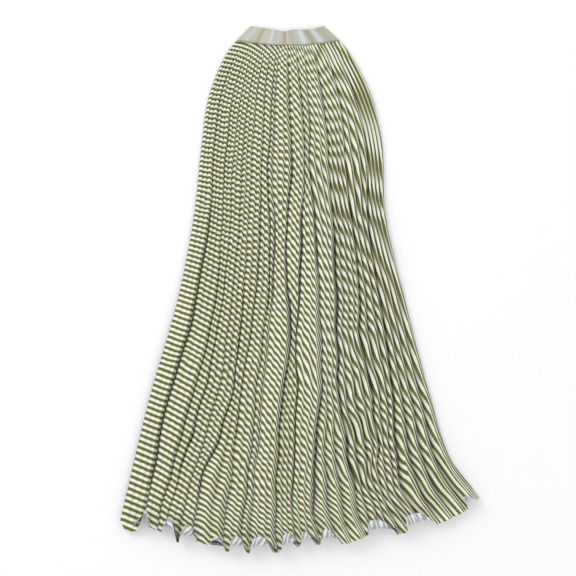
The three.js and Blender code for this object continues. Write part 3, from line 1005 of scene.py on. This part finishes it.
def striped_material(name, cloth, dark_colour, pale_colour, softness):
    """Cloth with woven stripes, which follow the flat cut over every fold, with painted shade from the mesh's
    valley attribute.
    """
    material, shader = plain_material(name, 0.62)
    tree = material.node_tree
    shader.inputs["Sheen Weight"].default_value = 0.1
    shader.inputs["Sheen Roughness"].default_value = 0.4
    inputs = {
        "Cut": new_node(tree, "UVMap", uv_map="flat_cut").outputs[0],
        "Period": cloth.stripe_period,
        "Dark Share": cloth.olive_share,
        "Softness": softness,
    }
    stripes = new_node(tree, "Group", node_tree=stripe_group())
    set_inputs(tree, stripes, inputs)
    dark, thread, weave = stripes.outputs
    colour = mix_colour(tree, dark, pale_colour, dark_colour)
    colour = mix_colour(tree, over(tree, thread, 0.35, 0.55), colour, WORN, "MULTIPLY")
    # Painted shade: the mesh's valley attribute darkens the colour towards these shade colours, in the
    # valleys, low on the pleats' slopes and on the folds' steep sides.
    in_shade = mix_colour(tree, dark, PALE_IN_SHADE, DARK_IN_SHADE)
    valley = new_node(tree, "Attribute", attribute_name="valley").outputs["Fac"]
    colour = mix_colour(tree, valley, colour, in_shade, "MULTIPLY")
    set_inputs(tree, shader, {"Base Color": colour, "Normal": bump(tree, weave, 0.00006, 0.5)})


def elastic_material(band):
    """Champagne elastic with a metallic thread: fine ribs, brighter and greyer in turn along its length, with
    painted shade in the hollows of its soft folds and a painted highlight on their crests.
    """
    material, shader = plain_material("champagne_elastic", 0.42, 0.35)
    tree = material.node_tree
    threads = noise(tree, new_node(tree, "UVMap", uv_map="elastic").outputs[0], RIB_THREAD_SCALE, 4)
    dark = [0.55 * c for c in band.champagne]
    colour = mix_colour(tree, over(tree, threads, 0.4, 1.6), band.champagne, dark)
    fold = new_node(tree, "Attribute", attribute_name="fold").outputs["Fac"]
    # Painted light: the fold attribute paints shade into the folds' hollows and a highlight onto their
    # crests.
    for share, painted_fold_light in ((0.8, FOLD_HOLLOW_SHADE), (-0.9, FOLD_CREST_HIGHLIGHT)):
        lies_there = math_node(tree, "MULTIPLY", fold, share, clamp=True)
        colour = mix_colour(tree, lies_there, colour, painted_fold_light)
    set_inputs(tree, shader, {"Base Color": colour, "Normal": bump(tree, threads, 0.0003, 0.6)})
    return material


def thread_material(band):
    """Dark thread, paler where its strands catch the light."""
    material, shader = plain_material("stitch_thread", 0.7)
    tree = material.node_tree
    strands = noise(tree, new_node(tree, "TexCoord").outputs["Object"], 1800, 2)
    dark, pale = ([c * share for c in band.thread] for share in (0.6, 1.4))
    colour = mix_colour(tree, strands, dark, pale)
    set_inputs(tree, shader, {"Base Color": colour, "Normal": bump(tree, strands, 0.0001, 0.5)})
    return material


def cloth_materials(cloth):
    """The cloth's face and its reverse, which both panels share."""
    if "striped_face" not in bpy.data.materials:
        striped_material("striped_face", cloth, cloth.olive, cloth.ivory, 0.05)
        striped_material("cloth_reverse", cloth, cloth.show_through, cloth.reverse, 0.16)
    return [bpy.data.materials[name] for name in ("striped_face", "cloth_reverse")]


# ---------------- operators
def new_panel(name, cloth, surface, columns, rows, facing=1):
    """A panel of striped cloth: a thin shell, whose inner side is the cloth's reverse."""
    mesh = cloth_mesh(name, columns, rows, lambda column, row: surface(cloth, column, row), facing)
    panel = new_piece(name, mesh, "striped_cloth", *cloth_materials(cloth))
    give_wall(panel, "cloth_wall", cloth.thickness, inner_material=1)
    return panel


class SKIRT_OT_front(bpy.types.Operator):
    """Make the front panel, with its pleats, its creases and its curled hem"""

    bl_idname = "skirt.make_front"
    bl_label = "Make Front"

    def execute(self, context):
        cloth = context.scene.skirt_cloth
        front = new_panel("front_panel", cloth, front_surface, len(section_columns()) - 1, cloth.rows)
        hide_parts("skirt_front")
        return {"FINISHED"}


class SKIRT_OT_back(bpy.types.Operator):
    """Make the back panel, which lies on the table with its pleats pressed flat"""

    bl_idname = "skirt.make_back"
    bl_label = "Make Back"

    def execute(self, context):
        cloth = context.scene.skirt_cloth
        columns = PLEATS * len(BACK_SECTION)
        back = new_panel("back_panel", cloth, back_surface, columns, cloth.back_rows, facing=-1)
        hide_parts("skirt_back")
        return {"FINISHED"}


class SKIRT_OT_waistband(bpy.types.Operator):
    """Make the elastic waistband, a flattened loop with ribs and soft folds"""

    bl_idname = "skirt.make_waistband"
    bl_label = "Make Waistband"

    def execute(self, context):
        band = context.scene.skirt_band
        piece = new_piece("elastic_waistband", band_mesh(band), "metallic_elastic", elastic_material(band))
        give_wall(piece, "elastic_wall", band.wall)
        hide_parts("waistband")
        return {"FINISHED"}


class SKIRT_OT_stitches(bpy.types.Operator):
    """Make the row of stitches that holds the elastic to the cloth"""

    bl_idname = "skirt.make_stitches"
    bl_label = "Make Stitches"

    def execute(self, context):
        band = context.scene.skirt_band
        bm = bmesh.new()
        count = int(BAND_WIDTH / band.stitch_pitch)
        for i in range(1, count):
            foot = band_point(band, round(i / count * BAND_COLUMNS), STITCH_AT)
            stitch = bmesh.ops.create_icosphere(bm, subdivisions=2, radius=0.5)["verts"]
            bmesh.ops.scale(bm, vec=STITCH_SIZE, verts=stitch)
            bmesh.ops.translate(bm, vec=foot + Vector((0, 0, STITCH_LIFT)), verts=stitch)
        mesh = finished_mesh("waist_stitches", bm)
        new_piece("waist_stitches", mesh, "metallic_elastic", thread_material(band))
        return {"FINISHED"}


class SKIRT_OT_stage(bpy.types.Operator):
    """Make the floor, the lights and the camera that looks straight down"""

    bl_idname = "skirt.set_stage"
    bl_label = "Set Stage"

    def execute(self, context):
        scene = context.scene
        stage = scene.skirt_stage
        bm = bmesh.new()
        bmesh.ops.create_grid(bm, x_segments=1, y_segments=1, size=stage.floor_size / 2)
        floor = new_object("floor", finished_mesh("floor", bm))
        paint, shader = plain_material("floor_paint", 0.9)
        shader.inputs["Base Color"].default_value = (*stage.floor_colour, 1)
        floor.data.materials.append(paint)

        powers = {"key": stage.key_power, "fill": stage.fill_power}
        for row in LIGHTS:
            light = new_object(row["name"], bpy.data.lights.new(row["name"], "AREA"))
            light.data.energy = powers[row["name"]]
            light.data.size = row["size"]
            light.location = row["place"]
            light.rotation_euler = (-light.location).to_track_quat("-Z", "Y").to_euler()

        world = bpy.data.worlds.new("even_sky")
        world.use_nodes = True
        background = world.node_tree.nodes["Background"]
        background.inputs["Color"].default_value = (1, 1, 1, 1)
        background.inputs["Strength"].default_value = stage.sky
        scene.world = world
        scene.view_settings.view_transform = "Standard"

        camera = new_object("overhead", bpy.data.cameras.new("overhead"))
        camera.data.sensor_width = SENSOR_WIDTH
        camera.data.lens = SENSOR_WIDTH * stage.camera_height / stage.view_width
        camera.location = to_frame(*np.array([*VIEW_CENTRE, stage.camera_height]))
        scene.camera = camera
        return {"FINISHED"}


class SKIRT_PT_panel(bpy.types.Panel):
    """Lists the skirt's pieces, sizes and colours"""

    bl_label = "Pleated Skirt"
    bl_space_type = "VIEW_3D"
    bl_region_type = "UI"
    bl_category = "Skirt"

    def draw(self, context):
        scene = context.scene
        for setting in SETTINGS:
            group = getattr(scene, setting)
            box = self.layout.box()
            for name in group.bl_rna.properties.keys():
                if name not in ("rna_type", "name"):
                    box.prop(group, name)
        for operator in OPERATORS:
            self.layout.operator(operator.bl_idname)


OPERATORS = (SKIRT_OT_front, SKIRT_OT_back, SKIRT_OT_waistband, SKIRT_OT_stitches, SKIRT_OT_stage)
SETTINGS = {"skirt_cloth": SkirtCloth, "skirt_band": SkirtBand, "skirt_stage": SkirtStage}
CLASSES = (*SETTINGS.values(), *OPERATORS, SKIRT_PT_panel)


def register():
    """Adds the classes and the scene's settings."""
    for cls in CLASSES:
        bpy.utils.register_class(cls)
    for setting, group in SETTINGS.items():
        setattr(bpy.types.Scene, setting, PointerProperty(type=group))


def unregister():
    """Takes the classes and the scene's settings away."""
    for setting in SETTINGS:
        delattr(bpy.types.Scene, setting)
    for cls in reversed(CLASSES):
        bpy.utils.unregister_class(cls)


def main():
    """Makes every piece and the stage."""
    register()
    bpy.ops.skirt.make_front()
    bpy.ops.skirt.make_back()
    bpy.ops.skirt.make_waistband()
    bpy.ops.skirt.make_stitches()
    bpy.ops.skirt.set_stage()


if __name__ == "__main__":
    main()
